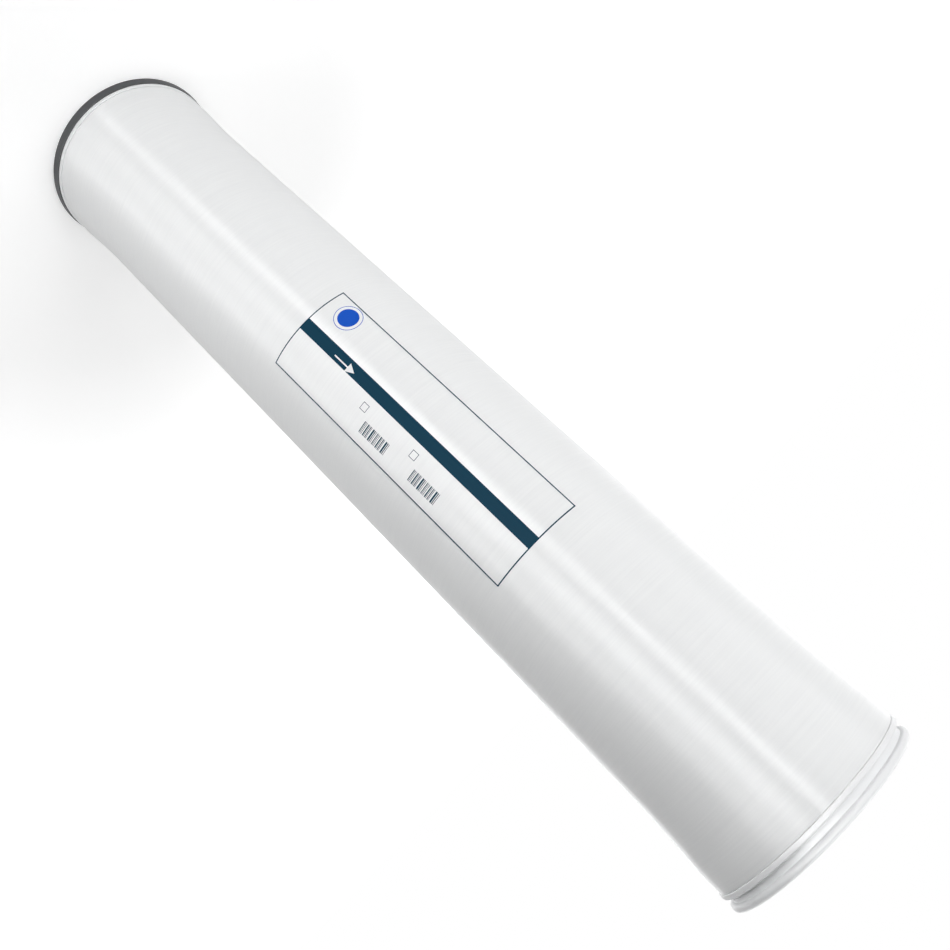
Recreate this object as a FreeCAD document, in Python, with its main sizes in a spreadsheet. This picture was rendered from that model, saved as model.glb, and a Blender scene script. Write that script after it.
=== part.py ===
"""Spiral-wound reverse-osmosis element, eight inches by forty, standing on its feed end.

The axis of the element is Z.  Z = 0 is the face of the feed end cap and water flows towards +Z.
From the inside out the element is a perforated permeate tube, a scroll of membrane leaves rolled
round it, a turn of tape, a wound glass-fibre shell, and a moulded end cap at each end that stops
the scroll from sliding out like a telescope.  A rubber brine seal sits in the feed cap's groove.
"""
import FreeCAD, Part
import math
import os
import Sketcher

doc = FreeCAD.newDocument("membrane_element")
sheet = doc.addObject("Spreadsheet::Sheet", "Sizes")

# Driving sizes in millimetres, apart from the counts.
SIZES = [
    ("element_length", 1016.0, "face to face of the two end caps"),
    ("slip_gap", 0.1, "play between pieces that are pushed or laid together"),
    ("tube_diameter", 38.1, "outside of the permeate tube"),
    ("seat_diameter", 28.6, "machined seat for an interconnector in each end of the tube"),
    ("seat_length", 50.0, "length of that seat"),
    ("tube_bore", 27.0, "bore of the tube between the seats"),
    ("tube_lead_in", 1.2, "chamfer at the mouths of the tube"),
    ("perforation_diameter", 3.2, "cross holes that let permeate into the tube"),
    ("perforation_count", 9, "cross holes in a row"),
    ("perforation_margin", 60.0, "first cross hole, from the end of the scroll"),
    ("scroll_diameter", 188.2, "outside of the rolled leaves"),
    ("leaf_count", 6, "membrane leaves in the scroll"),
    ("membrane_thickness", 1.4, "one membrane sheet"),
    ("spacer_thickness", 3.4, "feed spacer net inside a folded membrane"),
    ("carrier_thickness", 2.2, "permeate carrier cloth between two leaves"),
    ("tape_thickness", 0.4, "tape turned round the finished scroll"),
    ("shell_wall", 2.0, "glass-fibre shell along the body"),
    ("shell_ridge_wall", 2.55, "glass-fibre shell at its ridge over the cap's skirt"),
    ("shell_end_wall", 2.15, "glass-fibre shell at its end over the cap's skirt"),
    ("shell_end_chamfer", 0.6, "chamfer of the shell's end"),
    ("shell_end_gap", 0.5, "bare skirt between the shell's end and the cap's flange"),
    ("flare_length", 72.0, "shell's flare, from its ridge to the straight body"),
    ("skirt_reach", 22.5, "cap's skirt, from the inner flange to its edge under the shell"),
    ("skirt_wall", 2.2, "cap's skirt"),
    ("skirt_play", 0.3, "cap's skirt clear of the taped scroll"),
    ("outer_flange_width", 6.5, "flange at the cap's face"),
    ("groove_width", 6.5, "brine seal groove"),
    ("inner_flange_width", 4.5, "flange between the groove and the shell"),
    ("flange_stand", 0.7, "flanges stand this much proud of the shell's ridge"),
    ("groove_depth", 5.0, "brine seal groove below the flanges"),
    ("rim_wall", 4.3, "cap's rim below the groove"),
    ("inner_flange_chamfer", 0.8, "chamfer of the inner flange"),
    ("cap_depth", 24.0, "cap's face to the end of the scroll"),
    ("hub_wall", 5.5, "cap's hub round the tube"),
    ("face_chamfer", 1.0, "chamfer of the hub and rim at the cap's face"),
    ("spoke_count", 12, "spokes of a cap"),
    ("spoke_width", 3.4, "thickness of a spoke"),
    ("spoke_setback", 4.0, "front of the spokes behind the cap's face"),
    ("ring_count", 2, "rings between the hub and the rim"),
    ("ring_width", 3.0, "thickness of a ring"),
    ("ring_setback", 9.0, "front of the rings behind the cap's face"),
    ("seal_stand", 1.7, "seal's lip outside the flanges"),
    ("seal_lip_wall", 1.3, "seal's lip at its tip"),
    ("seal_lip_reach", 2.5, "seal's lip over the outer flange"),
    ("seal_heel_height", 1.7, "seal's inner leg above the groove's floor"),
    ("seal_back_stand", 0.6, "seal's back edge outside the flanges"),
    ("seal_web", 3.3, "rubber behind the seal's channel"),
    ("seal_channel_inner", 1.0, "channel's floor, from the inner leg outwards"),
    ("seal_channel_width", 1.2, "width of the channel's floor"),
    ("seal_chamfer", 0.4, "chamfer of the seal's edges"),
    ("label_length", 310.0, "label along the element"),
    ("label_width", 98.0, "label round the element"),
    ("label_setback", 401.0, "feed face to the label"),
    ("label_thickness", 0.2, "label film"),
]
for row, (alias, value, note) in enumerate(SIZES, start=1):
    sheet.set(f"A{row}", alias)
    sheet.set(f"B{row}", str(value))
    sheet.setAlias(f"B{row}", alias)
    sheet.set(f"C{row}", note)
doc.recompute()

# Radii and stations worked out from the driving sizes, as expressions that features are bound to.
LENGTH = "Sizes.element_length"
TUBE_RADIUS = "Sizes.tube_diameter / 2"
SEAT_RADIUS = "Sizes.seat_diameter / 2"
SCROLL_RADIUS = "Sizes.scroll_diameter / 2"
TAPE_RADIUS = f"{SCROLL_RADIUS} + Sizes.slip_gap + Sizes.tape_thickness"
SHELL_BORE = f"{TAPE_RADIUS} + Sizes.slip_gap"
BODY_RADIUS = f"{SHELL_BORE} + Sizes.shell_wall"
SKIRT_BORE = f"{TAPE_RADIUS} + Sizes.skirt_play"
SKIRT_RADIUS = f"{SKIRT_BORE} + Sizes.skirt_wall"
SHELL_SEAT = f"{SKIRT_RADIUS} + Sizes.slip_gap"
RIDGE_RADIUS = f"{SHELL_SEAT} + Sizes.shell_ridge_wall"
SHELL_END_RADIUS = f"{SHELL_SEAT} + Sizes.shell_end_wall"
FLANGE_RADIUS = f"{RIDGE_RADIUS} + Sizes.flange_stand"
GROOVE_RADIUS = f"{FLANGE_RADIUS} - Sizes.groove_depth"
RIM_BORE = f"{GROOVE_RADIUS} - Sizes.rim_wall"
HUB_BORE = f"{TUBE_RADIUS} + Sizes.slip_gap"
HUB_RADIUS = f"{HUB_BORE} + Sizes.hub_wall"
GROOVE_FRONT = "Sizes.outer_flange_width"
GROOVE_BACK = f"{GROOVE_FRONT} + Sizes.groove_width"
SKIRT_START = f"{GROOVE_BACK} + Sizes.inner_flange_width"
SKIRT_END = f"{SKIRT_START} + Sizes.skirt_reach"
SHELL_START = f"{SKIRT_START} + Sizes.shell_end_gap"
SHELL_STEP = f"{SKIRT_END} + Sizes.slip_gap"
FLARE_END = f"{SKIRT_END} + Sizes.flare_length"
SCROLL_START = "Sizes.cap_depth + Sizes.slip_gap"
SCROLL_LENGTH = f"{LENGTH} - 2 * ({SCROLL_START})"

# The most of a wall that a round or a chamfer takes, so that it fits when the sizes change.
FULL_ROUND_SHARE = 0.46
CHAMFER_SHARE = 0.45
RING_BEVEL_SHARE = 0.3


def number(expression):
    """The value of an expression over the sheet."""
    return float(sheet.evalExpression(expression))


def from_top(station):
    """The same distance, measured from the concentrate face."""
    return f"{LENGTH} - ({station})"


def origin_feature(body, role):
    """A plane or axis of the body's own origin."""
    return next(item for item in body.Origin.OriginFeatures if item.Role == role)


def new_sketch(body, plane, name):
    """An empty sketch on one of the body's origin planes."""
    sketch = body.newObject("Sketcher::SketchObject", name)
    sketch.AttachmentSupport = (origin_feature(body, plane), [""])
    sketch.MapMode = "FlatFace"
    return sketch


def bind(sketch, constraint, expression):
    """Add a driving constraint and bind it to the sheet."""
    index = sketch.addConstraint(constraint)
    sketch.setExpression(f"Constraints[{index}]", expression)


def outline(body, name, corners, bulges=None, plane="XZ_Plane"):
    """A closed outline through corners (across, along), each bound to the sheet.

    bulges gives the radius of the arc that replaces the side after a corner; the arc's centre is
    on the outer side of the outline, so that the side is hollow.
    """
    bulges = bulges or {}
    sketch = new_sketch(body, plane, name)
    points = [FreeCAD.Vector(number(across), number(along), 0) for across, along in corners]
    starts = []
    for index, start in enumerate(points):
        end = points[(index + 1) % len(points)]
        if index not in bulges:
            sketch.addGeometry(Part.LineSegment(start, end))
            starts.append((index, 1, 2))
            continue
        chord = end - start
        radius = number(bulges[index])
        outward = FreeCAD.Vector(chord.y, -chord.x, 0).normalize()
        rise = math.sqrt(radius ** 2 - (chord.Length / 2) ** 2)
        centre = start + chord * 0.5 + outward * rise
        circle = Part.Circle(centre, FreeCAD.Vector(0, 0, 1), radius)
        angles = [math.atan2(point.y - centre.y, point.x - centre.x) for point in (end, start)]
        sketch.addGeometry(Part.ArcOfCircle(circle, angles[0], angles[1]))
        starts.append((index, 2, 1))
    for index, (across, along) in enumerate(corners):
        geometry, first, _ = starts[index]
        previous, _, last = starts[index - 1]
        sketch.addConstraint(Sketcher.Constraint("Coincident", previous, last, geometry, first))
        for kind, text, size in (("DistanceX", across, points[index].x),
                                 ("DistanceY", along, points[index].y)):
            bind(sketch, Sketcher.Constraint(kind, -1, 1, geometry, first, size), text)
    for index, radius in bulges.items():
        bind(sketch, Sketcher.Constraint("Radius", index, number(radius)), radius)
    return sketch


def spoke_section(body):
    """A spoke's section, across the spoke: parallel sides, a round nose in front, a flat back."""
    sketch = new_sketch(body, "YZ_Plane", "spoke_section")
    half = "Sizes.spoke_width / 2"
    nose = f"Sizes.spoke_setback + {half}"
    back = "Sizes.cap_depth"
    radius, low, high = number(half), number(nose), number(back)
    corners = [FreeCAD.Vector(side * radius, level, 0)
               for side, level in ((1, low), (1, high), (-1, high), (-1, low))]
    for start, end in zip(corners, corners[1:]):
        sketch.addGeometry(Part.LineSegment(start, end))
    circle = Part.Circle(FreeCAD.Vector(0, low, 0), FreeCAD.Vector(0, 0, 1), radius)
    sketch.addGeometry(Part.ArcOfCircle(circle, math.pi, 2 * math.pi))
    sketch.addConstraint([
        Sketcher.Constraint("Coincident", 0, 2, 1, 1),
        Sketcher.Constraint("Coincident", 1, 2, 2, 1),
        Sketcher.Constraint("Tangent", 2, 2, 3, 1),
        Sketcher.Constraint("Tangent", 3, 2, 0, 1),
        Sketcher.Constraint("Vertical", 0),
        Sketcher.Constraint("Horizontal", 1),
        Sketcher.Constraint("Vertical", 2),
        Sketcher.Constraint("PointOnObject", 3, 3, -2)])
    bind(sketch, Sketcher.Constraint("Radius", 3, radius), half)
    bind(sketch, Sketcher.Constraint("DistanceY", -1, 1, 3, 3, low), nose)
    bind(sketch, Sketcher.Constraint("DistanceY", -1, 1, 1, 1, high), back)
    return sketch


def ring_section(body, name, middle):
    """A ring's section at a radius: parallel sides with bevelled front edges."""
    half = "Sizes.ring_width / 2"
    bevel = f"Sizes.ring_width * {RING_BEVEL_SHARE}"
    front = "Sizes.ring_setback"
    return outline(body, name, [
        (f"{middle} - {half}", f"{front} + {bevel}"),
        (f"{middle} - {half} + {bevel}", front),
        (f"{middle} + {half} - {bevel}", front),
        (f"{middle} + {half}", f"{front} + {bevel}"),
        (f"{middle} + {half}", "Sizes.cap_depth"),
        (f"{middle} - {half}", "Sizes.cap_depth"),
    ])


def revolve(body, sketch, name, angle="360"):
    """Turn a section about Z."""
    turned = body.newObject("PartDesign::Revolution", name)
    turned.Profile = sketch
    turned.ReferenceAxis = (sketch, ["V_Axis"])
    turned.Midplane = True
    turned.setExpression("Angle", angle)
    sketch.Visibility = False
    return turned


def soften(body, kind, name, size, circles):
    """Fillet or chamfer the circular edges that lie at the given (radius, height) pairs."""
    doc.recompute()
    base = body.Tip
    wanted = [(number(across), number(along)) for across, along in circles]
    edges = [f"Edge{index}" for index, edge in enumerate(base.Shape.Edges, start=1)
             if isinstance(edge.Curve, Part.Circle)
             and any(abs(edge.Curve.Radius - across) < 1e-4
                     and abs(edge.Curve.Center.z - along) < 1e-4 for across, along in wanted)]
    softened = body.newObject(f"PartDesign::{kind}", name)
    softened.Base = (base, edges)
    softened.setExpression({"Fillet": "Radius", "Chamfer": "Size"}[kind], size)


def new_body(label):
    """One sub-part, whose label names its file."""
    body = doc.addObject("PartDesign::Body", label)
    body.Label = label
    return body


def permeate_tube():
    """Central tube: a seat and a lead-in at each end, and two crossed rows of holes."""
    body = new_body("permeate_tube")
    lead = "Sizes.tube_lead_in"
    half = [
        (f"{TUBE_RADIUS} - {lead}", "0"),
        (TUBE_RADIUS, lead),
        (TUBE_RADIUS, from_top(lead)),
        (f"{TUBE_RADIUS} - {lead}", LENGTH),
        (f"{SEAT_RADIUS} + {lead}", LENGTH),
        (SEAT_RADIUS, from_top(lead)),
        (SEAT_RADIUS, from_top("Sizes.seat_length")),
        ("Sizes.tube_bore / 2", from_top("Sizes.seat_length")),
        ("Sizes.tube_bore / 2", "Sizes.seat_length"),
        (SEAT_RADIUS, "Sizes.seat_length"),
        (SEAT_RADIUS, lead),
        (f"{SEAT_RADIUS} + {lead}", "0"),
    ]
    revolve(body, outline(body, "tube_section", half), "tube_wall")
    first = f"{SCROLL_START} + Sizes.perforation_margin"
    span = f"{LENGTH} - 2 * ({first})"
    pitch = f"({span}) / (Sizes.perforation_count - 1)"
    rows = (("XZ_Plane", "front", first, span, "Sizes.perforation_count"),
            ("YZ_Plane", "side", f"{first} + ({pitch}) / 2", f"{span} - ({pitch})",
             "Sizes.perforation_count - 1"))
    for plane, name, start, reach, count in rows:
        sketch = new_sketch(body, plane, f"{name}_hole")
        centre = FreeCAD.Vector(0, number(start), 0)
        radius = "Sizes.perforation_diameter / 2"
        sketch.addGeometry(Part.Circle(centre, FreeCAD.Vector(0, 0, 1), number(radius)))
        sketch.addConstraint(Sketcher.Constraint("PointOnObject", 0, 3, -2))
        bind(sketch, Sketcher.Constraint("DistanceY", -1, 1, 0, 3, centre.y), start)
        bind(sketch, Sketcher.Constraint("Radius", 0, number(radius)), radius)
        cut = body.newObject("PartDesign::Pocket", f"{name}_cut")
        cut.Profile = sketch
        cut.Type = "ThroughAll"
        cut.Midplane = True
        doc.recompute()
        holes = body.newObject("PartDesign::LinearPattern", f"{name}_holes")
        holes.Originals = [cut]
        holes.Direction = (sketch, ["V_Axis"])
        holes.setExpression("Length", reach)
        holes.setExpression("Occurrences", count)
        body.Tip = holes
    return body


def end_cap(label):
    """Moulded end cap: flanged rim with a skirt, spokes, rings and a hub, its face at Z = 0."""
    body = new_body(label)
    rim = [
        (RIM_BORE, "0"),
        (FLANGE_RADIUS, "0"),
        (FLANGE_RADIUS, GROOVE_FRONT),
        (GROOVE_RADIUS, GROOVE_FRONT),
        (GROOVE_RADIUS, GROOVE_BACK),
        (FLANGE_RADIUS, GROOVE_BACK),
        (FLANGE_RADIUS, SKIRT_START),
        (SKIRT_RADIUS, SKIRT_START),
        (SKIRT_RADIUS, SKIRT_END),
        (SKIRT_BORE, SKIRT_END),
        (SKIRT_BORE, "Sizes.cap_depth"),
        (RIM_BORE, "Sizes.cap_depth"),
    ]
    revolve(body, outline(body, "rim_section", rim), "rim")
    spoke = body.newObject("PartDesign::Pad", "spoke")
    spoke.Profile = spoke_section(body)
    spoke.setExpression("Length", f"{RIM_BORE} + Sizes.rim_wall / 2")
    doc.recompute()
    spokes = body.newObject("PartDesign::PolarPattern", "spokes")
    spokes.Originals = [spoke]
    spokes.Axis = (origin_feature(body, "Z_Axis"), [""])
    spokes.Angle = 360
    spokes.setExpression("Occurrences", "Sizes.spoke_count")
    body.Tip = spokes
    hub = [("0", "0"), (HUB_RADIUS, "0"), (HUB_RADIUS, "Sizes.cap_depth"), ("0", "Sizes.cap_depth")]
    revolve(body, outline(body, "hub_section", hub), "hub")
    bays = "(Sizes.ring_count + 1)"
    for index in range(1, int(number("Sizes.ring_count")) + 1):
        middle = f"{HUB_RADIUS} + ({RIM_BORE} - ({HUB_RADIUS})) * {index} / {bays}"
        revolve(body, ring_section(body, f"ring_{index}_section", middle), f"ring_{index}")
    hole = new_sketch(body, "XY_Plane", "hub_hole")
    hole.addGeometry(Part.Circle(FreeCAD.Vector(), FreeCAD.Vector(0, 0, 1), number(HUB_BORE)))
    hole.addConstraint(Sketcher.Constraint("Coincident", 0, 3, -1, 1))
    bind(hole, Sketcher.Constraint("Radius", 0, number(HUB_BORE)), HUB_BORE)
    bore = body.newObject("PartDesign::Pocket", "hub_bore")
    bore.Profile = hole
    bore.Type = "ThroughAll"
    bore.Midplane = True
    full_round = f"{FULL_ROUND_SHARE} * Sizes.outer_flange_width"
    soften(body, "Fillet", "outer_flange_round", full_round,
           [(FLANGE_RADIUS, "0"), (FLANGE_RADIUS, GROOVE_FRONT)])
    small = f"min(Sizes.inner_flange_chamfer; {CHAMFER_SHARE} * Sizes.inner_flange_width)"
    soften(body, "Chamfer", "inner_flange_edges", small,
           [(FLANGE_RADIUS, GROOVE_BACK), (FLANGE_RADIUS, SKIRT_START)])
    walls = "min(Sizes.hub_wall; Sizes.rim_wall)"
    small = f"min(Sizes.face_chamfer; {CHAMFER_SHARE} * {walls})"
    soften(body, "Chamfer", "face_edges", small, [(HUB_RADIUS, "0"), (RIM_BORE, "0")])
    return body


def brine_seal():
    """Rubber ring with a U section: its heel sits in the groove, its lip opens to the feed."""
    body = new_body("brine_seal")
    front = f"{GROOVE_FRONT} + Sizes.slip_gap"
    back = f"{GROOVE_BACK} - Sizes.slip_gap"
    tip = f"{GROOVE_FRONT} - Sizes.seal_lip_reach"
    lip = f"{FLANGE_RADIUS} + Sizes.seal_stand"
    foot = f"{GROOVE_RADIUS} + Sizes.slip_gap"
    leg = f"{foot} + Sizes.seal_heel_height"
    channel = f"{leg} + Sizes.seal_channel_inner"
    floor = f"{back} - Sizes.seal_web"
    section = [
        (foot, front),
        (leg, front),
        (channel, floor),
        (f"{channel} + Sizes.seal_channel_width", floor),
        (f"{lip} - Sizes.seal_lip_wall", tip),
        (lip, tip),
        (f"{FLANGE_RADIUS} + Sizes.seal_back_stand", back),
        (foot, back),
    ]
    revolve(body, outline(body, "seal_section", section), "seal_ring")
    soften(body, "Chamfer", "seal_edges", "Sizes.seal_chamfer",
           [section[index] for index in (0, 1, 4, 5, 6, 7)])
    return body


def fibreglass_shell():
    """Wound shell: straight along the body, flared over the caps' skirts to a ridge and a band."""
    body = new_body("fibreglass_shell")
    rise = f"({RIDGE_RADIUS} - ({BODY_RADIUS}))"
    sweep = f"(Sizes.flare_length ^ 2 + {rise} ^ 2) / (2 * {rise})"
    section = [
        (SHELL_END_RADIUS, SHELL_START),
        (RIDGE_RADIUS, SKIRT_END),
        (BODY_RADIUS, FLARE_END),
        (BODY_RADIUS, from_top(FLARE_END)),
        (RIDGE_RADIUS, from_top(SKIRT_END)),
        (SHELL_END_RADIUS, from_top(SHELL_START)),
        (SHELL_SEAT, from_top(SHELL_START)),
        (SHELL_SEAT, from_top(SHELL_STEP)),
        (SHELL_BORE, from_top(SHELL_STEP)),
        (SHELL_BORE, SHELL_STEP),
        (SHELL_SEAT, SHELL_STEP),
        (SHELL_SEAT, SHELL_START),
    ]
    flares = {1: sweep, 3: sweep}
    revolve(body, outline(body, "shell_section", section, flares), "shell_wall")
    small = f"min(Sizes.shell_end_chamfer; {CHAMFER_SHARE} * Sizes.shell_end_wall)"
    soften(body, "Chamfer", "shell_end_edges", small, [section[0], section[5]])
    return body


def outer_tape():
    """Tape that holds the scroll shut under the shell."""
    body = new_body("outer_tape")
    inner = f"{SCROLL_RADIUS} + Sizes.slip_gap"
    section = [
        (inner, SCROLL_START),
        (TAPE_RADIUS, SCROLL_START),
        (TAPE_RADIUS, from_top(SCROLL_START)),
        (inner, from_top(SCROLL_START)),
    ]
    revolve(body, outline(body, "tape_section", section), "tape_turn")
    return body


def label():
    """Label film on the side of the shell that faces +X."""
    body = new_body("label")
    inner = f"{BODY_RADIUS} + Sizes.slip_gap"
    outer = f"{inner} + Sizes.label_thickness"
    top = "Sizes.label_setback + Sizes.label_length"
    section = [
        (inner, "Sizes.label_setback"),
        (outer, "Sizes.label_setback"),
        (outer, top),
        (inner, top),
    ]
    arc = f"Sizes.label_width / ({outer}) * 180 / pi"
    revolve(body, outline(body, "label_section", section), "label_film", arc)
    return body


class Scroll:
    """Leaves rolled round the tube, drawn as arcs about the corners of a small regular polygon.

    The polygon has one corner for each leaf, and its side is the pitch of the leaves.  A thread
    unwound from it is a smooth chain of arcs, each about the next corner and longer in radius by
    one side, so threads of other lengths run parallel to it and every layer keeps its thickness.
    A full turn moves a thread outwards by the pitch of all the leaves.
    """

    def __init__(self):
        self.gap = number("Sizes.slip_gap")
        self.membrane = number("Sizes.membrane_thickness")
        self.spacer = number("Sizes.spacer_thickness")
        self.carrier = number("Sizes.carrier_thickness")
        self.leaves = int(number("Sizes.leaf_count"))
        self.folded = 2 * self.membrane + self.spacer + 2 * self.gap
        self.pitch = self.folded + self.carrier + 2 * self.gap
        self.step = 2 * math.pi / self.leaves
        self.corner_radius = self.pitch / (2 * math.sin(self.step / 2))
        self.outside = number(SCROLL_RADIUS)
        self.inside = number(TUBE_RADIUS) + self.gap
        self.low = number(SCROLL_START)
        self.length = number(SCROLL_LENGTH)
        fold_radius = self.inside + self.folded / 2 + self.gap
        self.fold = self.heading_at(self.folded / 2, fold_radius)

    def corner(self, index):
        """A corner of the polygon."""
        turn = self.step * index
        return FreeCAD.Vector(math.cos(turn), math.sin(turn), 0) * self.corner_radius

    def arc_start(self, index):
        """Heading at which a thread starts its arc about a corner."""
        return self.step * (index - 0.5) - math.pi / 2

    def point(self, offset, heading):
        """End of the thread with that offset, when it points along the heading."""
        index = math.floor((heading - self.arc_start(0)) / self.step)
        thread = FreeCAD.Vector(math.cos(heading), math.sin(heading), 0)
        place = self.corner(index) + thread * (offset + index * self.pitch)
        return FreeCAD.Vector(place.x, place.y, self.low)

    def heading_at(self, offset, radius):
        """Heading at which a thread's end is at that distance from the element's axis."""
        index = 0
        while True:
            thread = offset + index * self.pitch
            reach = 2 * self.corner_radius * thread
            rest = radius ** 2 - self.corner_radius ** 2 - thread ** 2
            share = rest / reach if reach > 0 else 2
            if abs(share) <= 1:
                heading = self.step * index - math.acos(share)
                if heading <= self.arc_start(index + 1):
                    return max(heading, self.arc_start(index))
            index += 1

    def thread(self, offset, first, last):
        """The chain of arcs of one thread, between two headings."""
        begin = math.floor((first - self.arc_start(0)) / self.step)
        stops = [first]
        index = begin + 1
        while self.arc_start(index) < last - 1e-9:
            if self.arc_start(index) > first + 1e-9:
                stops.append(self.arc_start(index))
            index += 1
        stops.append(last)
        arcs = []
        for start, end in zip(stops, stops[1:]):
            middle = (start + end) / 2
            index = math.floor((middle - self.arc_start(0)) / self.step)
            centre = self.corner(index)
            reach = offset + index * self.pitch
            points = [centre + FreeCAD.Vector(math.cos(turn), math.sin(turn), 0) * reach
                      for turn in (start, middle, end)]
            for place in points:
                place.z = self.low
            arcs.append(Part.Arc(*points).toShape())
        return arcs

    def round_end(self, first, second, radius):
        """The edge of a layer that is trimmed to a circle about the element's axis."""
        ends = [self.point(offset, self.heading_at(offset, radius)) for offset in (first, second)]
        middle = (ends[0] + ends[1]) * 0.5
        middle.z = 0
        middle = middle.normalize() * radius
        middle.z = self.low
        return Part.Arc(ends[0], middle, ends[1]).toShape()

    def nose(self, first, second):
        """The half circle that closes a fold between two threads."""
        middle = self.point((first + second) / 2, self.fold)
        back = FreeCAD.Vector(math.sin(self.fold), -math.cos(self.fold), 0)
        tip = middle + back * ((second - first) / 2)
        return Part.Arc(self.point(first, self.fold), tip, self.point(second, self.fold)).toShape()

    def out_to_tape(self, offset, first):
        """A thread from a heading out to the scroll's outside."""
        return self.thread(offset, first, self.heading_at(offset, self.outside))

    def solid(self, edges):
        """Extrude a closed section along the scroll."""
        wire = Part.Wire(Part.__sortEdges__(edges))
        return Part.Face(wire).extrude(FreeCAD.Vector(0, 0, self.length))

    def membrane_sheet(self):
        """One sheet folded in half at the tube, its two layers running out to the tape."""
        inner, outer = self.membrane, self.folded - self.membrane
        edges = []
        for offset in (0, inner, outer, self.folded):
            edges += self.out_to_tape(offset, self.fold)
        edges.append(self.round_end(0, inner, self.outside))
        edges.append(self.round_end(outer, self.folded, self.outside))
        edges.append(self.nose(0, self.folded))
        edges.append(self.nose(inner, outer))
        return self.solid(edges)

    def feed_spacer(self):
        """The net between the two layers of a folded sheet, with its edge in the fold."""
        first = self.membrane + self.gap
        second = first + self.spacer
        edges = self.out_to_tape(first, self.fold) + self.out_to_tape(second, self.fold)
        edges.append(self.round_end(first, second, self.outside))
        edges.append(self.nose(first, second))
        return self.solid(edges)

    def permeate_carrier(self):
        """The cloth between two leaves, which starts on the tube."""
        first = self.folded + self.gap
        second = first + self.carrier
        edges = []
        for offset in (first, second):
            edges += self.out_to_tape(offset, self.heading_at(offset, self.inside))
        edges.append(self.round_end(first, second, self.outside))
        edges.append(self.round_end(first, second, self.inside))
        return self.solid(edges)

    def layers(self):
        """One object for each layer of each leaf."""
        shapes = {"membrane_sheet": self.membrane_sheet(), "feed_spacer": self.feed_spacer(),
                  "permeate_carrier": self.permeate_carrier()}
        objects = []
        for leaf in range(self.leaves):
            turn = FreeCAD.Rotation(FreeCAD.Vector(0, 0, 1), 360 * leaf / self.leaves)
            for name, shape in shapes.items():
                layer = doc.addObject("Part::Feature", f"{name}_{leaf + 1}")
                layer.Label = f"{name}_{leaf + 1}"
                layer.Shape = shape
                layer.Placement = FreeCAD.Placement(FreeCAD.Vector(), turn)
                objects.append(layer)
        return objects


feed_cap = end_cap("feed_end_cap")
concentrate_cap = end_cap("concentrate_end_cap")
concentrate_cap.Placement.Rotation = FreeCAD.Rotation(FreeCAD.Vector(1, 0, 0), 180)
concentrate_cap.setExpression("Placement.Base.z", LENGTH)
subparts = [permeate_tube(), feed_cap, concentrate_cap, brine_seal(), fibreglass_shell(),
            outer_tape(), label()]
subparts += Scroll().layers()
doc.recompute()

for item in doc.Objects:
    if "Invalid" in item.State or "Error" in item.State:
        raise RuntimeError(f"{item.Label} failed: {item.State}")
for item in subparts:
    if item.Shape.isNull() or not item.Shape.isValid() or len(item.Shape.Solids) != 1:
        raise RuntimeError(f"{item.Label} is not one valid solid")

os.makedirs("parts", exist_ok=True)
for item in subparts:
    item.Shape.exportStep(f"parts/{item.Label}.step")
    print(item.Label, round(item.Shape.Volume / 1000, 2), "cm3")
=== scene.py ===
"""Spiral-wound reverse-osmosis membrane element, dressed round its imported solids.

The element stands on its feed end: the axis is Z, the feed face is at Z = 0, and the label
faces +X.
"""

import math

import bpy
import numpy as np
from mathutils import Matrix, Vector


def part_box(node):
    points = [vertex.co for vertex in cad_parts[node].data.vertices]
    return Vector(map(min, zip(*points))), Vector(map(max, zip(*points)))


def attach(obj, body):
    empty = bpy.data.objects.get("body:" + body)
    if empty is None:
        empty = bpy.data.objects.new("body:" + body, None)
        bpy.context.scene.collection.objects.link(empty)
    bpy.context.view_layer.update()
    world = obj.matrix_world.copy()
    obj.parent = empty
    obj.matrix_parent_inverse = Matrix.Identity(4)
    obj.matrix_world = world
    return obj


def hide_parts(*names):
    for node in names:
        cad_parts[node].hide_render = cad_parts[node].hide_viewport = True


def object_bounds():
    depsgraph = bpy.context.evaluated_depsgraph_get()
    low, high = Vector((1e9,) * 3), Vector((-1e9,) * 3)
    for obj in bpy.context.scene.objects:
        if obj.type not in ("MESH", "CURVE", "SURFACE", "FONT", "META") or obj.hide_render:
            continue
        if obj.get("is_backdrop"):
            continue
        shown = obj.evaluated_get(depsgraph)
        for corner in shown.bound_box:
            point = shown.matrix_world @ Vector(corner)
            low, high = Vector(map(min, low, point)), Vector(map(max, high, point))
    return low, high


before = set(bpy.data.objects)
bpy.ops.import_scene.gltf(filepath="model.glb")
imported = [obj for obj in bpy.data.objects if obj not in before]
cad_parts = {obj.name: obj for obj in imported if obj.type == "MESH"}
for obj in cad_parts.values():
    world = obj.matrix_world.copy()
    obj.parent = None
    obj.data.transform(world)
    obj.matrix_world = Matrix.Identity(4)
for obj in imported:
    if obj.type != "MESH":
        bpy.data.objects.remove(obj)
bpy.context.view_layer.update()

# ---------------------------------------------------------------------------------------------
# Permeate tube.  Extruded ABS pipe down the middle that collects the clean water.  Its mouths are
# turned to a smooth seat for the interconnector; the scroll is glued to its outside.
# ---------------------------------------------------------------------------------------------
MM = 0.001


def linear(colour):
    """Linear RGBA of an sRGB colour written #rrggbb, by the sRGB transfer curve."""
    channels = np.array([int(colour[i:i + 2], 16) for i in (1, 3, 5)]) / 255
    curve = np.where(channels <= 0.04045, channels / 12.92, ((channels + 0.055) / 1.055) ** 2.4)
    return (*curve.tolist(), 1.0)


def add(tree, kind, inputs=None, **settings):
    """One new node with its settings; each input is given a value or another node's socket."""
    made = tree.nodes.new(kind)
    for name, value in settings.items():
        setattr(made, name, value)
    for key, value in (inputs or {}).items():
        if isinstance(value, bpy.types.NodeSocket):
            tree.links.new(value, made.inputs[key])
        else:
            made.inputs[key].default_value = value
    return made


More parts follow.
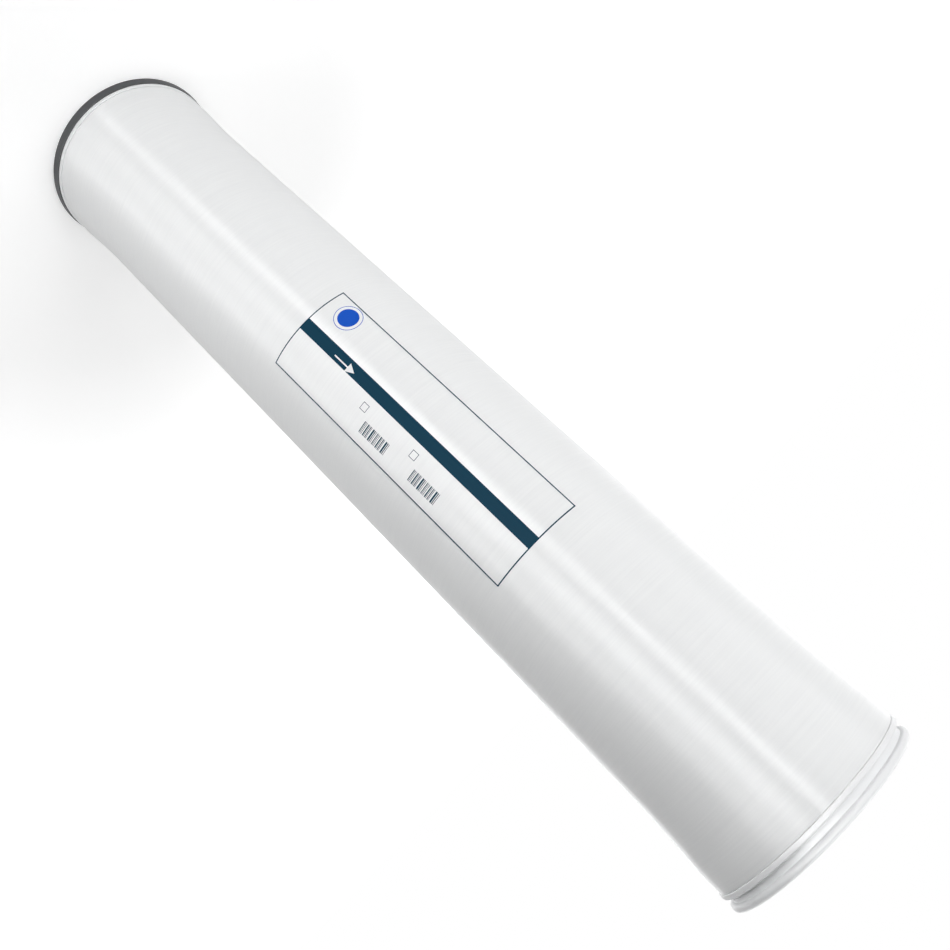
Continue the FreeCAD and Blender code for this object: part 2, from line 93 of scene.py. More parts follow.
def new_material(name, **surface):
    """A material whose Principled shader has these constants on its own sockets."""
    material = bpy.data.materials.new(name)
    material.use_nodes = True
    tree = material.node_tree
    shader = tree.nodes["Principled BSDF"]
    for key, value in surface.items():
        shader.inputs[key.replace("_", " ")].default_value = value
    return material, tree, shader


def dress(piece, material):
    """Gives a piece its material and its body."""
    piece.data.materials.clear()
    piece.data.materials.append(material)
    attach(piece, "root")


# Extruded and turned ABS: satin, with fine tool rings and a slightly uneven gloss.
TUBE_COLOUR = "#e9eaea"
TOOL_RING = 0.8         # mm between the rings that the lathe leaves

tube_plastic, tree, shader = new_material("turned_abs", Base_Color=linear(TUBE_COLOUR),
                                          Roughness=0.38)
place = add(tree, "ShaderNodeTexCoord").outputs["Object"]
rings = add(tree, "ShaderNodeMapping", {"Vector": place, "Scale": (20, 20, 1 / (TOOL_RING * MM))})
cuts = add(tree, "ShaderNodeTexNoise", {"Vector": rings.outputs[0], "Scale": 1.0, "Detail": 2.0})
cloud = add(tree, "ShaderNodeTexNoise", {"Vector": place, "Scale": 60.0, "Detail": 3.0})
gloss = add(tree, "ShaderNodeMapRange", {"Value": cloud.outputs["Fac"], "To Min": 0.32,
                                         "To Max": 0.46})
tree.links.new(gloss.outputs[0], shader.inputs["Roughness"])
relief = add(tree, "ShaderNodeBump", {"Height": cuts.outputs["Fac"], "Strength": 0.4,
                                      "Distance": 0.02 * MM})
tree.links.new(relief.outputs[0], shader.inputs["Normal"])
dress(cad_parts["permeate_tube"], tube_plastic)

# ---------------------------------------------------------------------------------------------
# Scroll of leaves.  Membrane sheets folded over a net spacer, with a carrier cloth between the
# leaves, glued along three edges, rolled round the tube and trimmed flush at both ends.
# ---------------------------------------------------------------------------------------------
LEAF_TURN = 52.8        # mm that a layer moves outwards in one turn
FINE_LEAVES = 36        # leaf edges met in that distance
LEAF_RELIEF = 0.25      # mm that a leaf edge or a thread stands out


def leaf_edges(tree, place):
    """Height from 0 to 1 across fine spiral leaf edges.

    The radius divided by the leaf pitch, less the turn times the number of leaves, is constant
    along an edge; a sine of it gives one edge for each leaf.
    """
    axes = add(tree, "ShaderNodeSeparateXYZ", {0: place})
    flat = add(tree, "ShaderNodeVectorMath", {0: place, 1: (1.0, 1.0, 0.0)}, operation="MULTIPLY")
    radius = add(tree, "ShaderNodeVectorMath", {0: flat.outputs[0]}, operation="LENGTH")
    turn = add(tree, "ShaderNodeMath", {0: axes.outputs[1], 1: axes.outputs[0]},
               operation="ARCTAN2")
    edges = add(tree, "ShaderNodeMath", {0: turn.outputs[0], 1: float(-FINE_LEAVES)},
                operation="MULTIPLY")
    per_metre = 2 * math.pi * FINE_LEAVES / (LEAF_TURN * MM)
    phase = add(tree, "ShaderNodeMath", {0: radius.outputs["Value"], 1: per_metre,
                                         2: edges.outputs[0]}, operation="MULTIPLY_ADD")
    wave = add(tree, "ShaderNodeMath", {0: phase.outputs[0]}, operation="SINE")
    return add(tree, "ShaderNodeMapRange", {"Value": wave.outputs[0], "From Min": -1.0}).outputs[0]


def layer_material(name, light, dark, roughness, weave):
    """A rolled sheet: trimmed leaf edges on its ends and a weave of that pitch (mm) elsewhere."""
    material, tree, shader = new_material(name, Roughness=roughness)
    place = add(tree, "ShaderNodeTexCoord").outputs["Object"]
    edges = leaf_edges(tree, place)
    threads = add(tree, "ShaderNodeTexVoronoi", {"Vector": place, "Scale": 1 / (weave * MM)})
    # Darker away from the threads' points: for the net this is painted shade in its open channels.
    shade = add(tree, "ShaderNodeMath", {0: threads.outputs["Distance"], 1: 0.5, 2: edges},
                operation="MULTIPLY_ADD")
    tint = add(tree, "ShaderNodeMix", {"Factor": shade.outputs[0], "A": linear(light),
                                       "B": linear(dark)}, data_type="RGBA", clamp_factor=True)
    tree.links.new(tint.outputs["Result"], shader.inputs["Base Color"])
    relief = add(tree, "ShaderNodeBump", {"Height": shade.outputs[0], "Strength": 0.8,
                                          "Distance": LEAF_RELIEF * MM}, invert=True)
    tree.links.new(relief.outputs[0], shader.inputs["Normal"])
    return material


layer_looks = {
    # Thin-film membrane on polyester felt: matt cream with grey glue lines.
    "membrane_sheet": ("membrane_film", layer_material("polyamide_membrane", "#e8e3d4", "#a9a494",
                                                       0.6, 0.5)),
    # Extruded polypropylene net: pale, with painted shade darkening the channels between strands.
    "feed_spacer": ("spacer_net", layer_material("polypropylene_net", "#d5d8d6", "#7d8283",
                                                 0.45, 0.9)),
    # Tricot-knit polyester cloth stiffened with epoxy: chalky white.
    "permeate_carrier": ("carrier_cloth", layer_material("tricot_polyester", "#efeeea", "#b9b8b2",
                                                         0.7, 0.35)),
}
for name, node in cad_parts.items():
    kind = name.rsplit("_", 1)[0]
    if kind in layer_looks:
        slot, material = layer_looks[kind]
        dress(node, material)

# ---------------------------------------------------------------------------------------------
# Tape.  Polypropylene film with a slight cross grain, turned once round the finished scroll to
# hold it shut until the shell is wound over it.
# ---------------------------------------------------------------------------------------------
tape_film, tree, shader = new_material("polypropylene_tape", Roughness=0.3)
place = add(tree, "ShaderNodeTexCoord").outputs["Object"]
grain = add(tree, "ShaderNodeMapping", {"Vector": place, "Scale": (60, 60, 900)})
lines = add(tree, "ShaderNodeTexNoise", {"Vector": grain.outputs[0], "Scale": 1.0, "Detail": 3.0})
tint = add(tree, "ShaderNodeMix", {"Factor": lines.outputs["Fac"], "A": linear("#dcd9c9"),
                                   "B": linear("#c9c4ae")}, data_type="RGBA")
tree.links.new(tint.outputs["Result"], shader.inputs["Base Color"])
relief = add(tree, "ShaderNodeBump", {"Height": lines.outputs["Fac"], "Strength": 0.5,
                                      "Distance": 0.02 * MM})
tree.links.new(relief.outputs[0], shader.inputs["Normal"])
dress(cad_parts["outer_tape"], tape_film)

# ---------------------------------------------------------------------------------------------
# End caps.  Injection-moulded ABS, one at each end, glued into the flare of the shell: a flanged
# rim with a seal groove, a hub on the tube, and spokes and rings that hold the scroll back.
# ---------------------------------------------------------------------------------------------
flange_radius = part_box("feed_end_cap")[1].x / MM
hub_bore, hub_radius = 19.15, 24.65                         # mm
rim_bore, groove_radius = 91.15, 95.45
skirt_bore, skirt_radius = 94.9, 97.1
groove_front, groove_back, skirt_start = 6.5, 13.0, 17.5    # mm behind the cap's face
cap_depth, skirt_end = 24.0, 40.0
ring_half, ring_front = 1.5, 9.0
SPOKES = 12


def rounded(corners, radii, steps=6):
    """A closed outline of (radius, height) corners in mm, each rounded by a tangent arc.

    An arc's ends lie on both sides at the radius over the tangent of half the corner's angle.
    """
    points = []
    count = len(corners)
    for i, (corner, radius) in enumerate(zip(corners, radii)):
        here = np.array(corner, float)
        if radius == 0:
            points.append(here[None])
            continue
        before = np.array(corners[i - 1], float) - here
        after = np.array(corners[(i + 1) % count], float) - here
        before /= np.linalg.norm(before)
        after /= np.linalg.norm(after)
        half = math.acos(float(np.clip(before @ after, -1, 1))) / 2
        middle = before + after
        centre = here + middle / np.linalg.norm(middle) * (radius / math.sin(half))
        start = here + before * (radius / math.tan(half)) - centre
        end = here + after * (radius / math.tan(half)) - centre
        first = math.atan2(start[1], start[0])
        sweep = math.remainder(math.atan2(end[1], end[0]) - first, 2 * math.pi)
        angles = first + sweep * np.linspace(0, 1, steps)
        points.append(centre + radius * np.stack([np.cos(angles), np.sin(angles)], axis=1))
    return np.concatenate(points)


def turned(profile, steps):
    """Points and faces of a closed outline (radius, height) in mm turned about the axis.

    A point is (radius cos turn, radius sin turn, height); the outline runs anticlockwise, so
    that faces point outwards.
    """
    radius, height = profile.T
    if np.sum(radius * np.roll(height, -1) - np.roll(radius, -1) * height) < 0:
        radius, height = radius[::-1], height[::-1]
    turn = np.linspace(0, 2 * math.pi, steps, endpoint=False)[:, None]
    points = np.stack([radius * np.cos(turn), radius * np.sin(turn),
                       np.broadcast_to(height, (steps, len(height)))], axis=-1)
    return points.reshape(-1, 3) * MM, grid_faces(steps, len(radius), True, True)


def grid_faces(rows, columns, rows_close, columns_close):
    """Quads of a grid of points numbered row by row; a closed direction joins its last to first."""
    index = np.arange(rows * columns).reshape(rows, columns)
    if rows_close:
        index = np.concatenate([index, index[:1]])
    if columns_close:
        index = np.concatenate([index, index[:, :1]], axis=1)
    return np.stack([index[:-1, :-1], index[1:, :-1], index[1:, 1:], index[:-1, 1:]],
                    axis=-1).reshape(-1, 4)


def new_piece(name, parts, crease=40.0):
    """A mesh object from several (points, faces), smooth but for edges sharper than the crease."""
    points = np.concatenate([part[0] for part in parts])
    starts = np.cumsum([0] + [len(part[0]) for part in parts[:-1]])
    faces = np.concatenate([part[1] + start for part, start in zip(parts, starts)])
    mesh = bpy.data.meshes.new(name)
    mesh.from_pydata(points.tolist(), [], faces.tolist())
    mesh.shade_smooth()
    mesh.set_sharp_from_angle(angle=math.radians(crease))
    mesh.update()
    piece = bpy.data.objects.new(name, mesh)
    bpy.context.scene.collection.objects.link(piece)
    return piece


def spoke_faces(turn):
    """A spoke along its radius: a round-nosed section that widens in a fillet at each crossing.

    Its half width is half the wall plus, within a fillet's radius of a hub, ring or rim wall,
    the height of a quarter circle.
    """
    wall, fillet, front = 3.4, 2.2, 4.0
    into_hub, into_rim = 1.0, 1.5
    reach = np.linspace(hub_radius - into_hub, rim_bore + into_rim, 120)
    walls = np.concatenate([[hub_radius, rim_bore], ring_middles - ring_half,
                            ring_middles + ring_half])
    gap = np.min(np.abs(reach[:, None] - walls), axis=1)
    inside = np.min(np.abs(reach[:, None] - ring_middles), axis=1) < ring_half
    near = np.where(inside, 0.0, np.clip(gap, 0, fillet))
    half = wall / 2 + fillet - np.sqrt(fillet ** 2 - (fillet - near) ** 2)
    nose = np.linspace(math.pi, 2 * math.pi, 13)
    across = np.concatenate([[-1.0], np.cos(nose), [1.0]])
    height = np.concatenate([[cap_depth], front + wall / 2 * (1 + np.sin(nose)), [cap_depth]])
    radius = np.broadcast_to(reach[:, None], (len(reach), len(across)))
    side = half[:, None] * across
    up = np.broadcast_to(height, side.shape)
    points = np.stack([radius * math.cos(turn) - side * math.sin(turn),
                       radius * math.sin(turn) + side * math.cos(turn), up], axis=-1)
    quads = grid_faces(len(reach), len(across), False, True)
    return points.reshape(-1, 3) * MM, quads


ring_middles = hub_radius + (rim_bore - hub_radius) * np.array([1, 2]) / 3
rim_outline = rounded(
    [(rim_bore, 0), (flange_radius, 0), (flange_radius, groove_front),
     (groove_radius, groove_front), (groove_radius, groove_back), (flange_radius, groove_back),
     (flange_radius, skirt_start), (skirt_radius, skirt_start), (skirt_radius, skirt_end),
     (skirt_bore, skirt_end), (skirt_bore, cap_depth), (rim_bore, cap_depth)],
    [1.0, 3.0, 3.0, 0.6, 0.6, 0.8, 0.8, 0.0, 0.0, 0.0, 0.3, 0.3])
hub_outline = rounded(
    [(hub_bore, 0), (hub_radius, 0), (hub_radius, cap_depth), (hub_bore, cap_depth)],
    [0.5, 1.2, 0.3, 0.3])
cap_parts = [turned(rim_outline, 240), turned(hub_outline, 96)]
for middle in ring_middles:
    ring_outline = rounded(
        [(middle - ring_half, ring_front), (middle + ring_half, ring_front),
         (middle + ring_half, cap_depth), (middle - ring_half, cap_depth)],
        [1.4, 1.4, 0.2, 0.2], 8)
    cap_parts.append(turned(ring_outline, 160))
for spoke in range(SPOKES):
    cap_parts.append(spoke_faces(2 * math.pi * spoke / SPOKES))

# Moulded ABS: nearly white, satin gloss, the faint orange peel of a spark-eroded mould, and
# light grey handling smudges on the rim.
cap_plastic, tree, shader = new_material("moulded_abs", Roughness=0.45)
place = add(tree, "ShaderNodeTexCoord").outputs["Object"]
smudge = add(tree, "ShaderNodeTexNoise", {"Vector": place, "Scale": 38.0, "Detail": 4.0})
marks = add(tree, "ShaderNodeMapRange", {"Value": smudge.outputs["Fac"], "From Min": 0.6,
                                         "From Max": 0.85, "To Max": 0.35})
tint = add(tree, "ShaderNodeMix", {"Factor": marks.outputs[0], "A": linear("#e6e7e8"),
                                   "B": linear("#c6c8ca")}, data_type="RGBA")
tree.links.new(tint.outputs["Result"], shader.inputs["Base Color"])
peel = add(tree, "ShaderNodeTexNoise", {"Vector": place, "Scale": 700.0, "Detail": 1.0})
relief = add(tree, "ShaderNodeBump", {"Height": peel.outputs["Fac"], "Strength": 0.25,
                                      "Distance": 0.03 * MM})
tree.links.new(relief.outputs[0], shader.inputs["Normal"])

feed_cap = new_piece("feed_cap", cap_parts)
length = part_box("concentrate_end_cap")[1].z / MM
flipped = [(points * [1, -1, -1] + [0, 0, length * MM], faces) for points, faces in cap_parts]
concentrate_cap = new_piece("concentrate_cap", flipped)
for cap, node in ((feed_cap, "feed_end_cap"), (concentrate_cap, "concentrate_end_cap")):
    dress(cap, cap_plastic)
    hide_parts(node)

# ---------------------------------------------------------------------------------------------
# Shell.  Glass roving wetted with white epoxy and wound over the taped scroll and the caps'
# skirts, wiped smooth while wet, then cured; it flares to a crisp ridge near each end.
# ---------------------------------------------------------------------------------------------
shell_low, shell_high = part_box("fibreglass_shell")
shell_start = shell_low.z / MM
ridge_radius = shell_high.x / MM
body_radius, shell_bore = 96.7, 94.7    # mm
seat_radius, seat_end = 97.2, 40.1      # where the shell is wound over the cap's skirt
ridge_station, flare_end = skirt_end, 112.0
END_FALL = 0.4          # mm that the end band falls away from the ridge
END_BEAD = 0.36         # mm that the resin runs on towards the cap's flange


def shell_radius(height):
    """Outside radius (mm) of the shell at heights (mm): band, ridge, hollow flare, straight body.

    The band is a straight line from the end to the ridge; the flare is an arc tangent to the
    body, whose radius is (length squared plus rise squared) over twice the rise.
    """
    from_end = np.minimum(height, length - height)
    rise = ridge_radius - body_radius
    reach = flare_end - ridge_station
    sweep = (reach ** 2 + rise ** 2) / (2 * rise)
    along = np.clip(flare_end - from_end, 0, reach)
    flare = body_radius + sweep - np.sqrt(sweep ** 2 - along ** 2)
    fall = END_FALL * (ridge_station - from_end) / (ridge_station - shell_start)
    return np.where(from_end < ridge_station, ridge_radius - fall, flare)


def shell_heights():
    """Stations along the shell: close together at the bands and flares, wide on the body."""
    end = np.concatenate([np.linspace(shell_start + 0.8, ridge_station - 0.5, 18),
                          [ridge_station - 0.2, ridge_station, ridge_station + 0.3],
                          np.linspace(ridge_station + 1.5, flare_end, 40)])
    body = np.linspace(flare_end + 6, length - flare_end - 6, 130)
    return np.concatenate([end, body, (length - end)[::-1]])


# The resin's bead leaves the skirt square and rolls over to the band.
heights = shell_heights()
outside = np.stack([shell_radius(heights), heights], axis=1)
low_lip = np.array([(seat_radius, shell_start - END_BEAD), (98.8, shell_start - END_BEAD),
                    (99.15, shell_start - 0.15), (99.3, shell_start + 0.25)])
bore = np.array([(seat_radius, length - seat_end), (shell_bore, length - seat_end),
                 (shell_bore, length / 2), (shell_bore, seat_end), (seat_radius, seat_end)])
high_lip = np.stack([low_lip[::-1, 0], length - low_lip[::-1, 1]], axis=1)
shell_points, shell_quads = turned(np.concatenate([low_lip, outside, high_lip, bore]), 256)
shell = new_piece("wound_shell", [(shell_points, shell_quads)], 30.0)


def map_winding(piece):
    """A UV map that follows the roving: turn over a full turn across, height in metres along."""
    mesh = piece.data
    corners = np.zeros(len(mesh.loops), np.int32)
    mesh.loops.foreach_get("vertex_index", corners)
    places = np.zeros(len(mesh.vertices) * 3, np.float32)
    mesh.vertices.foreach_get("co", places)
    places = places.reshape(-1, 3)[corners]
    turns = (np.arctan2(places[:, 1], places[:, 0]) / (2 * math.pi)).reshape(-1, 4)
    turns = turns - np.round(turns - turns[:, :1])
    winding = mesh.uv_layers.new(name="winding")
    winding.data.foreach_set("uv", np.stack([turns.ravel(), places[:, 2]], axis=1).ravel())


map_winding(shell)

# Filament-wound epoxy: white, satin, and drawn out round the shell, so that highlights smear
# lengthwise.  The roving's lines stand 1.6 mm apart here, coarser than they are, so they show.
WINDING_PITCH = 1.6     # mm
SHELL_WHITE = "#eff0f0"
SHELL_GREY = "#e6e7e8"
GLOSS_SPREAD = 0.06     # roughness above and below its middle value


def wound_surface(name, roughness):
    """White wound resin: ring lines, lengthwise ripples, and a little grey in the hollows."""
    material, tree, shader = new_material(name, Anisotropic=1.0, Anisotropic_Rotation=0.25,
                                          Roughness=roughness)
    place = add(tree, "ShaderNodeTexCoord").outputs["Object"]
    ring_space = add(tree, "ShaderNodeMapping",
                     {"Vector": place, "Scale": (14, 14, 1 / (WINDING_PITCH * MM))})
    lines = add(tree, "ShaderNodeTexNoise",
                {"Vector": ring_space.outputs[0], "Scale": 1.0, "Detail": 2.0})
    long_space = add(tree, "ShaderNodeMapping", {"Vector": place, "Scale": (110, 110, 7)})
    ripples = add(tree, "ShaderNodeTexNoise",
                  {"Vector": long_space.outputs[0], "Scale": 1.0, "Detail": 3.0})
    tint = add(tree, "ShaderNodeMix",
               {"Factor": lines.outputs["Fac"], "A": linear(SHELL_WHITE),
                "B": linear(SHELL_GREY)}, data_type="RGBA")
    tree.links.new(tint.outputs["Result"], shader.inputs["Base Color"])
    gloss = add(tree, "ShaderNodeMapRange", {"Value": ripples.outputs["Fac"],
                                             "To Min": roughness - GLOSS_SPREAD,
                                             "To Max": roughness + GLOSS_SPREAD})
    tree.links.new(gloss.outputs[0], shader.inputs["Roughness"])
    fine = add(tree, "ShaderNodeBump", {"Height": lines.outputs["Fac"], "Strength": 0.6,
                                        "Distance": 0.04 * MM})
    broad = add(tree, "ShaderNodeBump", {"Height": ripples.outputs["Fac"], "Strength": 0.6,
                                         "Distance": 0.25 * MM, "Normal": fine.outputs[0]})
    tree.links.new(broad.outputs[0], shader.inputs["Normal"])
    around = add(tree, "ShaderNodeTangent", direction_type="UV_MAP", uv_map="winding")
    tree.links.new(around.outputs[0], shader.inputs["Tangent"])
    return material


dress(shell, wound_surface("wound_glass_epoxy", 0.5))
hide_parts("fibreglass_shell")

# ---------------------------------------------------------------------------------------------
# Label.  Thin polyester film with a clear adhesive, pressed on the cured shell so that its white
# shows through; the print is screened ink: a frame, a band with a flow arrow, and plain boxes.
# ---------------------------------------------------------------------------------------------
label_low, label_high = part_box("label")
label_radius = label_high.x / MM
label_bottom, label_top = label_low.z / MM, label_high.z / MM
label_half = 49.0
FILM = 0.2              # mm, thickness of the film
INK = 0.03              # mm, thickness of the printed ink
INK_STEP = 1.5          # mm, widest step of the ink's grid round the shell
OUTLINE = 1.2           # mm, line of the frame
BAND_HALF = 6.4


def laid(arc, height, low=0.0, thickness=INK, closed=False):
    """A thin layer on the shell: a grid of (arc length, height) in mm, wrapped on a cylinder.

    The turn is the arc length over the label's radius.  The outer grid stands a thickness above
    the inner one, which is low above the label, and walls join their borders.
    """
    rows, columns = arc.shape
    turn = arc / label_radius
    layers = []
    for rise in (low, low + thickness):
        radius = label_radius + rise
        layers.append(np.stack([radius * np.cos(turn), radius * np.sin(turn), height], axis=-1))
    points = np.concatenate([layer.reshape(-1, 3) for layer in layers]) * MM
    outer = grid_faces(rows, columns, closed, False) + rows * columns
    inner = grid_faces(rows, columns, closed, False)[:, ::-1]
    index = np.arange(rows * columns).reshape(rows, columns)
    border = ([index[:, -1], index[::-1, 0]] if closed
              else [np.concatenate([index[:-1, 0], index[-1, :-1], index[:0:-1, -1],
                                    index[0, :0:-1]])])
    walls = []
    for edge in border:
        following = np.roll(edge, -1)
        walls.append(np.stack([edge, following, following + rows * columns,
                               edge + rows * columns], axis=-1))
    return points, np.concatenate([outer, inner, *walls])


def printed_bar(arc_low, arc_high, low, high, lift=0.0):
    """A rectangle of ink, its grid even in arc length and height."""
    columns = max(2, int((arc_high - arc_low) / INK_STEP) + 2)
    arc, height = np.meshgrid(np.linspace(arc_low, arc_high, columns), [low, high], indexing="ij")
    return laid(arc, height, lift)


def printed_box(arc_low, arc_high, low, high, line):
    """Four bars of ink round a rectangle."""
    return [printed_bar(arc_low, arc_high, low, low + line),
            printed_bar(arc_low, arc_high, high - line, high),
            printed_bar(arc_low, arc_low + line, low + line, high - line),
            printed_bar(arc_high - line, arc_high, low + line, high - line)]


film_arc, film_height = np.meshgrid(np.linspace(-label_half, label_half, 60),
                                    np.linspace(label_bottom, label_top, 80), indexing="ij")
film = new_piece("label_sheet", [laid(film_arc, film_height, -FILM, FILM)])
map_winding(film)
dress(film, wound_surface("clear_label_film", 0.48))
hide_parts("label")

navy_parts = printed_box(-label_half, label_half, label_bottom, label_top, OUTLINE)
navy_parts.append(printed_bar(-BAND_HALF, BAND_HALF, label_bottom + OUTLINE, label_top - OUTLINE))
box_arc, box_size, box_line = 13.7, 7.6, 0.5
for low in (505.2, 573.2):
    navy_parts += printed_box(box_arc, box_arc + box_size, low, low + box_size, box_line)
bars_low, bars_high = 26.0, 38.0        # mm round the shell
bar_widths = np.tile([0.9, 0.5, 0.5, 1.3, 0.5, 0.9, 0.5, 1.7, 0.9, 0.5], 2)
bar_gaps = np.tile([0.6, 0.9, 1.3, 0.6, 0.9, 0.6, 1.7, 0.6, 0.9, 1.3], 2)
bar_starts = np.concatenate([[0], np.cumsum(bar_widths + bar_gaps)[:-1]])
for middle in (535.5, 603.0):
    first = middle - (bar_starts[-1] + bar_widths[-1]) / 2
    for start, width in zip(bar_starts, bar_widths):
        navy_parts.append(printed_bar(bars_low, bars_high, first + start,
                                      first + start + width))
navy_print = new_piece("label_print_navy", navy_parts)

# The arrow has a half width at its tail, at both sides of its shoulder and at its tip.
arrow_low, arrow_high, head, arrow_middle = 450.0, 478.0, 9.5, 2.0
arrow_height = np.array([arrow_low, arrow_high - head, arrow_high - head + 0.01, arrow_high])
arrow_half = np.array([0.7, 0.7, 4.8, 0.12])
share = np.linspace(-1, 1, 9)
arrow_arc = arrow_middle + share[:, None] * arrow_half
white_print = new_piece("label_print_arrow", [
    laid(arrow_arc, np.broadcast_to(arrow_height, arrow_arc.shape), INK)])

badge_arc, badge_height = -32.5, 429.0


def printed_ring(inner, outer):
    """A ring of ink about the badge's middle: arc and height are its radius times cos and sin."""
    turn = np.linspace(0, 2 * math.pi, 72, endpoint=False)[:, None]
    radius = np.linspace(outer, inner, max(2, int((outer - inner) / INK_STEP) + 1))
    return laid(badge_arc + radius * np.cos(turn), badge_height + radius * np.sin(turn),
                closed=True)


badge_print = new_piece("label_print_badge", [printed_ring(0.05, 10.5), printed_ring(13.6, 14.2)])

# Screened ink on film: even, slightly matt, with the grain of the screen.
for piece, colour in ((navy_print, "#0b3a4f"), (white_print, "#f2f3f3"), (badge_print, "#1a56c4")):
    ink, tree, shader = new_material("screen_ink_" + piece.name.rsplit("_", 1)[1], Roughness=0.6,
                                     Specular_IOR_Level=0.05)
    place = add(tree, "ShaderNodeTexCoord").outputs["Object"]
    mesh_grain = add(tree, "ShaderNodeTexNoise", {"Vector": place, "Scale": 900.0})
    dense = (*(0.93 * channel for channel in linear(colour)[:3]), 1.0)
    tint = add(tree, "ShaderNodeMix", {"Factor": mesh_grain.outputs["Fac"], "A": linear(colour),
                                       "B": dense}, data_type="RGBA")
    tree.links.new(tint.outputs["Result"], shader.inputs["Base Color"])
    relief = add(tree, "ShaderNodeBump", {"Height": mesh_grain.outputs["Fac"], "Strength": 0.2,
                                          "Distance": 0.01 * MM})
    tree.links.new(relief.outputs[0], shader.inputs["Normal"])
    dress(piece, ink)

# ---------------------------------------------------------------------------------------------
# Brine seal.  Moulded EPDM rubber ring with a U section, stretched over the feed cap's outer
# flange into its groove; the feed's pressure opens its lip against the vessel.
# ---------------------------------------------------------------------------------------------
lip_radius, back_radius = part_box("brine_seal")[1].x / MM, 101.05
seal_seat, seal_front, seal_back = 95.55, 6.6, 12.9         # mm, in the cap's groove
leg_radius, channel_inner, channel_outer, channel_floor = 97.25, 98.25, 99.45, 9.6
lip_front, lip_wall = 4.0, 1.3
seal_outline = rounded(
    [(seal_seat, seal_front), (leg_radius, seal_front), (channel_inner, channel_floor),
     (channel_outer, channel_floor), (lip_radius - lip_wall, lip_front),
     (lip_radius, lip_front), (back_radius, seal_back), (seal_seat, seal_back)],
    [0.3, 0.5, 0.4, 0.4, 0.5, 0.5, 0.5, 0.3])
brine_seal = new_piece("lip_seal", [turned(seal_outline, 240)])
seal_rubber, tree, shader = new_material("moulded_epdm", Roughness=0.5)
place = add(tree, "ShaderNodeTexCoord").outputs["Object"]
bloom = add(tree, "ShaderNodeTexNoise", {"Vector": place, "Scale": 90.0, "Detail": 4.0})
tint = add(tree, "ShaderNodeMix", {"Factor": bloom.outputs["Fac"], "A": linear("#2b2d2f"),
                                   "B": linear("#3c3e40")}, data_type="RGBA")
tree.links.new(tint.outputs["Result"], shader.inputs["Base Color"])
skin = add(tree, "ShaderNodeTexNoise", {"Vector": place, "Scale": 1500.0, "Detail": 1.0})
relief = add(tree, "ShaderNodeBump", {"Height": skin.outputs["Fac"], "Strength": 0.3,
                                      "Distance": 0.03 * MM})
tree.links.new(relief.outputs[0], shader.inputs["Normal"])
dress(brine_seal, seal_rubber)
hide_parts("brine_seal")

# ---------------------------------------------------------------------------------------------
# Studio: a plain white floor under a white room.  The floor takes the object's shadow, and
# glows more with distance, so that it passes into the room without an edge.
# ---------------------------------------------------------------------------------------------
def seen_rays(tree):
    """1 for rays from the camera and for those it gets by reflection or through glass, else 0."""
    rays = add(tree, "ShaderNodeLightPath").outputs
    seen = rays["Is Camera Ray"]
    for kind in ("Is Glossy Ray", "Is Transmission Ray"):
        seen = add(tree, "ShaderNodeMath", {0: seen, 1: rays[kind]},
                   operation="MAXIMUM").outputs[0]
    return seen


floor_half = 6.0        # m
floor_points = np.array([(-1, -1, 0), (1, -1, 0), (1, 1, 0), (-1, 1, 0)]) * floor_half
floor = new_piece("floor", [(floor_points, np.array([[0, 1, 2, 3]]))])
floor_paint = bpy.data.materials.new("white_floor_paint")
floor_paint.use_nodes = True
tree = floor_paint.node_tree
tree.nodes.clear()
paint = add(tree, "ShaderNodeBsdfDiffuse", {"Color": linear("#e9e9e9")})
spot = add(tree, "ShaderNodeTexCoord").outputs["Object"]
away = add(tree, "ShaderNodeVectorMath", {0: spot}, operation="LENGTH")
haze = add(tree, "ShaderNodeMapRange", {"Value": away.outputs["Value"], "From Min": 0.3,
                                        "From Max": 1.3, "To Min": 0.35, "To Max": 1.0})
lift = add(tree, "ShaderNodeMath", {0: seen_rays(tree), 1: haze.outputs[0]},
           operation="MULTIPLY")
glow = add(tree, "ShaderNodeEmission", {"Color": (1, 1, 1, 1), "Strength": lift.outputs[0]})
both = add(tree, "ShaderNodeAddShader", {0: paint.outputs[0], 1: glow.outputs[0]})
add(tree, "ShaderNodeOutputMaterial", {"Surface": both.outputs[0]})
floor.data.materials.append(floor_paint)
floor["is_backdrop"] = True

ROOM_LIGHT = 0.08       # share of the room's white that lights the object
world = bpy.data.worlds.new("white_room")
bpy.context.scene.world = world
world.use_nodes = True
tree = world.node_tree
tree.nodes.clear()
level = add(tree, "ShaderNodeMapRange", {"Value": seen_rays(tree), "To Min": ROOM_LIGHT,
                                         "To Max": 1.0})
room = add(tree, "ShaderNodeBackground", {"Color": (1, 1, 1, 1), "Strength": level.outputs[0]})
add(tree, "ShaderNodeOutputWorld", {"Surface": room.outputs[0]})


def soft_box(name, foot, head, width, power, gloss_only=False):
    """A rectangular lamp stretched from foot to head, each given as (azimuth, height, distance).

    Its face is turned to the element's axis at half height.  A gloss-only lamp adds a highlight.
    """
    ends = [Vector((distance * math.cos(math.radians(azimuth)),
                    distance * math.sin(math.radians(azimuth)), height))
            for azimuth, height, distance in (foot, head)]
    middle, along = (ends[0] + ends[1]) / 2, ends[1] - ends[0]
    target = Vector((0, 0, 0.5))
    across = along.cross(middle - target).normalized()
    lamp = bpy.data.lights.new(name, "AREA")
    lamp.shape = "RECTANGLE"
    lamp.size, lamp.size_y, lamp.energy = width, along.length, power
    holder = bpy.data.objects.new(name, lamp)
    turn = Matrix((across, along.normalized(), across.cross(along).normalized())).transposed()
    holder.matrix_world = Matrix.Translation(middle) @ turn.to_4x4()
    holder.visible_diffuse = not gloss_only
    bpy.context.scene.collection.objects.link(holder)


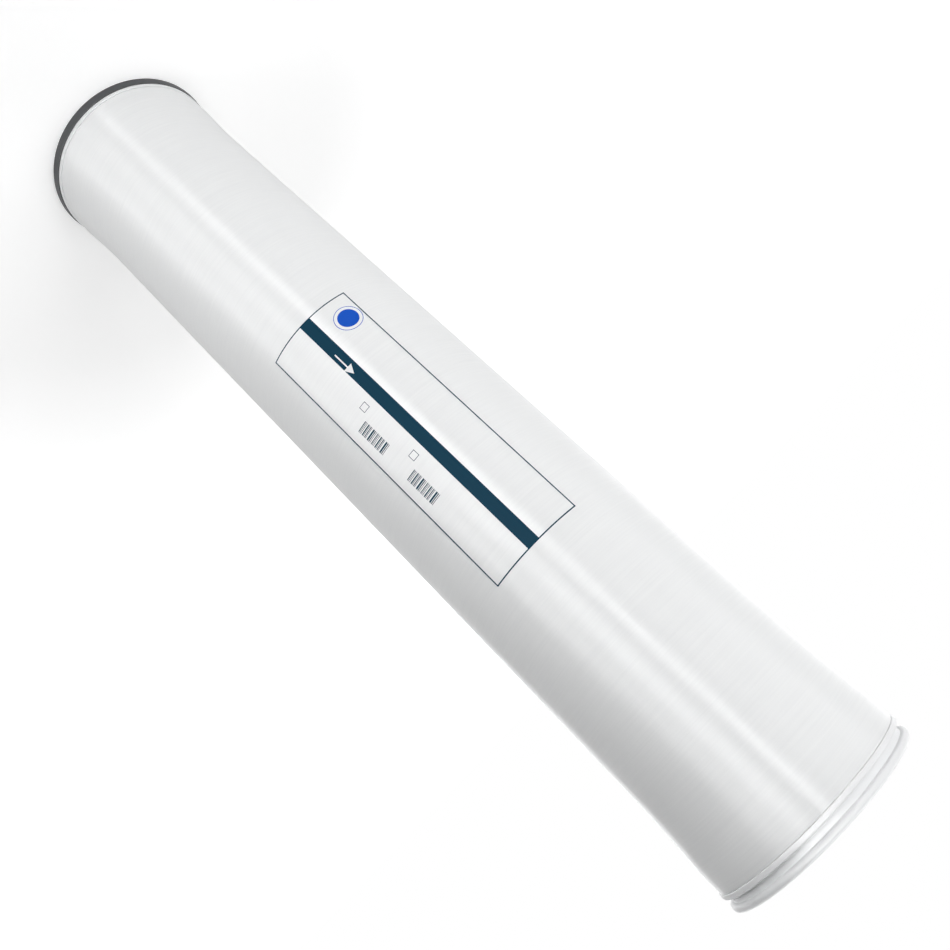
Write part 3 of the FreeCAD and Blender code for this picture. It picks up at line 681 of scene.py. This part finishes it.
# Azimuths in degrees, heights, distances and widths in metres, power in watts.
soft_box("key", (-75, 0.1, 2.2), (-75, 2.3, 2.2), 1.6, 19.5)
soft_box("key_front", (-38, 0.1, 2.2), (-38, 2.1, 2.2), 1.0, 18.5)
soft_box("overhead", (0, 3.0, 0.8), (180, 3.0, 0.8), 1.6, 32)
soft_box("low_fill", (60, 0.02, 1.0), (60, 0.3, 1.0), 0.6, 1.0)
soft_box("low_side", (42, 0.02, 1.4), (42, 0.5, 1.4), 0.2, 4.4)
soft_box("back", (165, 0.1, 2.4), (165, 2.3, 2.4), 1.6, 15)
soft_box("back_side", (-150, 0.1, 2.4), (-150, 2.3, 2.4), 1.6, 7)
soft_box("strip", (-10.3, 0.02, 1.6), (-10.3, 1.9, 1.6), 0.1, 2)
# These draw the long highlights and add no other light.
soft_box("strip_gloss", (-10.3, 0.02, 1.6), (-10.3, 1.9, 1.6), 0.06, 29, gloss_only=True)
soft_box("slant_gloss", (52, 0.02, 1.6), (11, 1.5, 1.6), 0.55, 27, gloss_only=True)
soft_box("high_gloss", (16, 0.6, 1.6), (10, 1.9, 1.6), 0.4, 18, gloss_only=True)

# ---------------------------------------------------------------------------------------------
# Camera: in front of the label and above it, rolled so that the element lies across the frame.
# ---------------------------------------------------------------------------------------------
lens = bpy.data.cameras.new("camera")
lens.lens, lens.sensor_width = 33.41, 36.0
camera = bpy.data.objects.new("camera", lens)
stand, aim = Vector((0.8035, 0.0, 0.8921)), Vector((0.0, -0.0083, 0.5958))
roll = math.radians(133.69)
forward = (aim - stand).normalized()
level_right = forward.cross(Vector((0, 0, 1))).normalized()
level_up = level_right.cross(forward)
right = level_right * math.cos(roll) + level_up * math.sin(roll)
up = level_up * math.cos(roll) - level_right * math.sin(roll)
view = Matrix((right, up, -forward)).transposed().to_4x4()
camera.matrix_world = Matrix.Translation(stand) @ view
bpy.context.scene.collection.objects.link(camera)
bpy.context.scene.camera = camera
bpy.context.scene.view_settings.view_transform = "Standard"

bpy.context.view_layer.update()
low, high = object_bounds()
